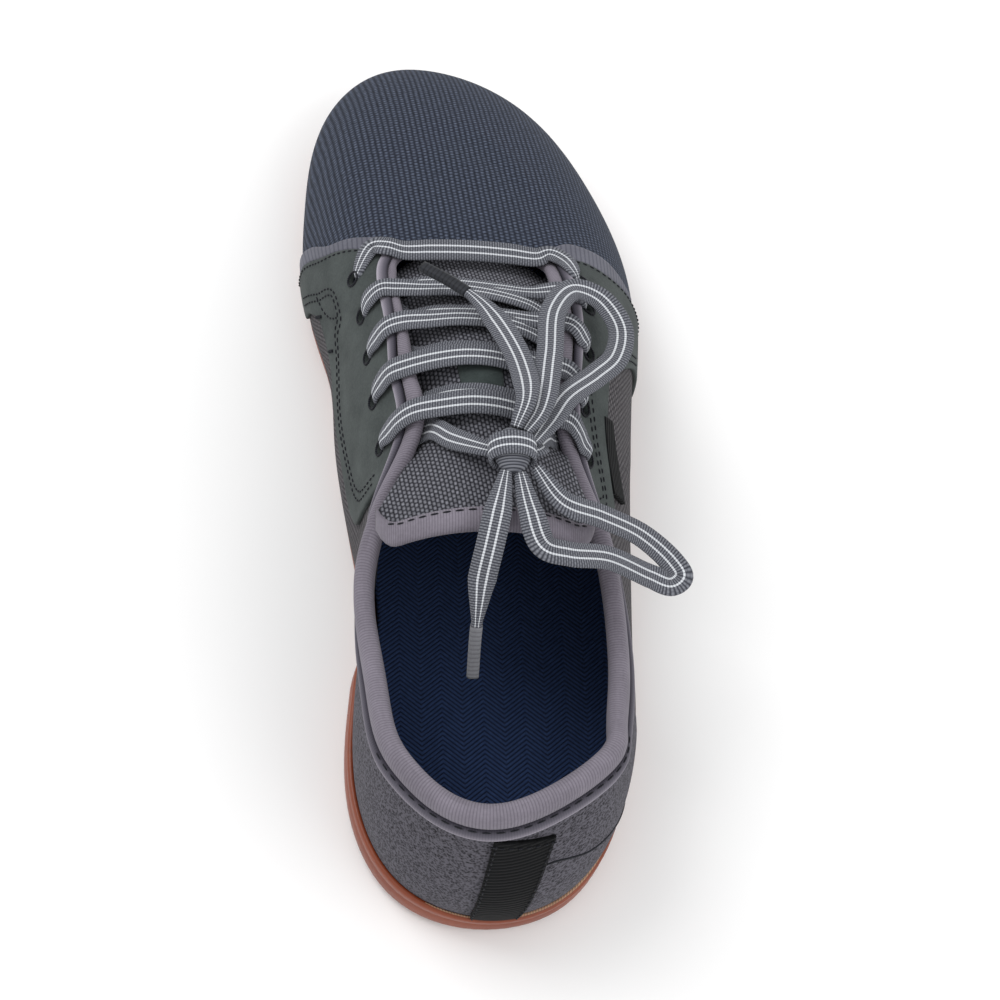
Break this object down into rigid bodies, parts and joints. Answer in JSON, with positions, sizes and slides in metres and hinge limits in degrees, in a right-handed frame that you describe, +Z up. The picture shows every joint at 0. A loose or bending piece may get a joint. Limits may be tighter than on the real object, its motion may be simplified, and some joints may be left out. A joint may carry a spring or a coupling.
{
  "type": "barefoot shoe",
  "caption": "Right barefoot shoe with a wide toe, thin gum cupsole, hollow knit upper, suede eyestays, padded collar, loose tongue and flat laces tied in a bow",
  "frame": {"origin": "on the ground, in the middle of the sole's length and width", "axes": "+Y points to the toe along the sole's length, +X to the outer side of the right foot, +Z up"},
  "size_m": [0.1076, 0.2887, 0.0958],
  "materials": {
    "gum_rubber": "matt reddish gum rubber",
    "slate_knit": "ribbed slate knit",
    "navy_footbed": "navy mesh over foam",
    "grey_suede": "short napped suede",
    "lavender_trim": "soft lavender grey ribbed tape",
    "dark_webbing": "near black woven webbing",
    "grey_lace": "flat woven lace"
  },
  "bodies": {
    "root": {"outsole": "gum_rubber", "insole": "navy_footbed", "upper": "slate_knit", "collar_binding": "lavender_trim", "eyestay_medial": "grey_suede", "eyestay_lateral": "grey_suede", "vamp_trim_medial": "lavender_trim", "vamp_trim_lateral": "lavender_trim", "heel_tab": "dark_webbing", "side_tag": "dark_webbing", "tongue": "slate_knit", "tongue_binding": "lavender_trim", "lace_keeper": "grey_suede", "lace_bar": "grey_lace", "lace_cross_1": "grey_lace", "lace_cross_2": "grey_lace", "lace_cross_3": "grey_lace", "lace_cross_4": "grey_lace", "lace_knot": "grey_lace", "lace_loop_front": "grey_lace", "lace_loop_side": "grey_lace", "lace_end_front": "grey_lace", "lace_end_back": "grey_lace"}
  },
  "joints": []
}
